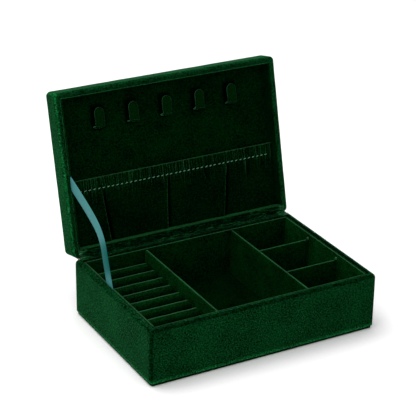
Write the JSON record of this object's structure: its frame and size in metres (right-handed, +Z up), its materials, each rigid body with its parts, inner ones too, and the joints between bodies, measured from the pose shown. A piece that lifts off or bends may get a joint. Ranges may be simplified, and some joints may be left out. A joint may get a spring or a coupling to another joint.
{
  "type": "travel jewelry case",
  "caption": "Velvet-covered travel jewelry case with a hinged lid, ring pads, divided bays, necklace hooks, an elastic pocket and a ribbon stay.",
  "frame": {"origin": "centre of the base's underside, on the surface that the case rests on", "axes": "+X along the case's length, the ring pads at -X; +Y from the front edge towards the hinge; +Z up"},
  "size_m": [0.24, 0.2193, 0.2127],
  "materials": {
    "velvet_outer": "short-pile emerald velvet, bright at grazing angles, dark face-on",
    "velvet_lining": "short-pile emerald velvet over card, darker than the outside",
    "velvet_plinth": "dark green velvet-faced paper on the bottom board",
    "velvet_ring_pads": "short-pile emerald velvet over foam",
    "velvet_pocket": "thin gathered emerald velvet",
    "velvet_gusset": "thin creased emerald velvet strip",
    "velvet_hooks": "emerald velvet stretched over a stiff tongue",
    "greyboard": "grey bookbinding board, unfinished",
    "magnet_steel": "nickel-plated disc magnet",
    "elastic_web": "knitted flat elastic",
    "satin_ribbon": "teal satin ribbon with woven edges"
  },
  "bodies": {
    "base": {"base_plinth": "velvet_plinth", "base_floor_board": "greyboard", "base_wrap": "velvet_outer", "base_magnets": "magnet_steel", "base_board_front": "greyboard", "base_board_back": "greyboard", "base_board_left": "greyboard", "base_board_right": "greyboard", "base_liner_front": "velvet_lining", "base_liner_back": "velvet_lining", "base_liner_left": "velvet_lining", "base_liner_right": "velvet_lining", "divider_left": "velvet_lining", "divider_right": "velvet_lining", "cross_divider_back": "velvet_lining", "cross_divider_front": "velvet_lining", "floor_pad_centre": "velvet_lining", "floor_pad_right_back": "velvet_lining", "floor_pad_right_middle": "velvet_lining", "floor_pad_right_front": "velvet_lining", "ring_bed": "velvet_ring_pads", "ring_pad_1": "velvet_ring_pads", "ring_pad_2": "velvet_ring_pads", "ring_pad_3": "velvet_ring_pads", "ring_pad_4": "velvet_ring_pads", "ring_pad_5": "velvet_ring_pads", "ring_pad_6": "velvet_ring_pads", "ring_pad_7": "velvet_ring_pads", "ring_pad_8": "velvet_ring_pads", "hinge_gusset": "velvet_gusset", "hinge_spine": "velvet_outer", "ribbon_stay": "satin_ribbon"},
    "lid": {"lid_top_board": "greyboard", "lid_wrap": "velvet_outer", "lid_magnets": "magnet_steel", "lid_inner_panel": "velvet_lining", "lid_board_front": "greyboard", "lid_board_hinge": "greyboard", "lid_board_left": "greyboard", "lid_board_right": "greyboard", "lid_liner_front": "velvet_lining", "lid_liner_hinge": "velvet_lining", "lid_liner_left": "velvet_lining", "lid_liner_right": "velvet_lining", "necklace_hook_1": "velvet_hooks", "necklace_hook_2": "velvet_hooks", "necklace_hook_3": "velvet_hooks", "necklace_hook_4": "velvet_hooks", "necklace_hook_5": "velvet_hooks", "pocket_cloth": "velvet_pocket", "pocket_casing": "velvet_pocket", "pocket_elastic": "elastic_web"}
  },
  "joints": [
    {"name": "lid_hinge", "type": "hinge", "parent": "base", "child": "lid", "pos_m": [0, 0.08, 0.05785], "axis": [1, 0, 0], "range_deg": [0, 103.5], "deforming": ["ribbon_stay", "hinge_gusset", "hinge_spine"]}
  ]
}
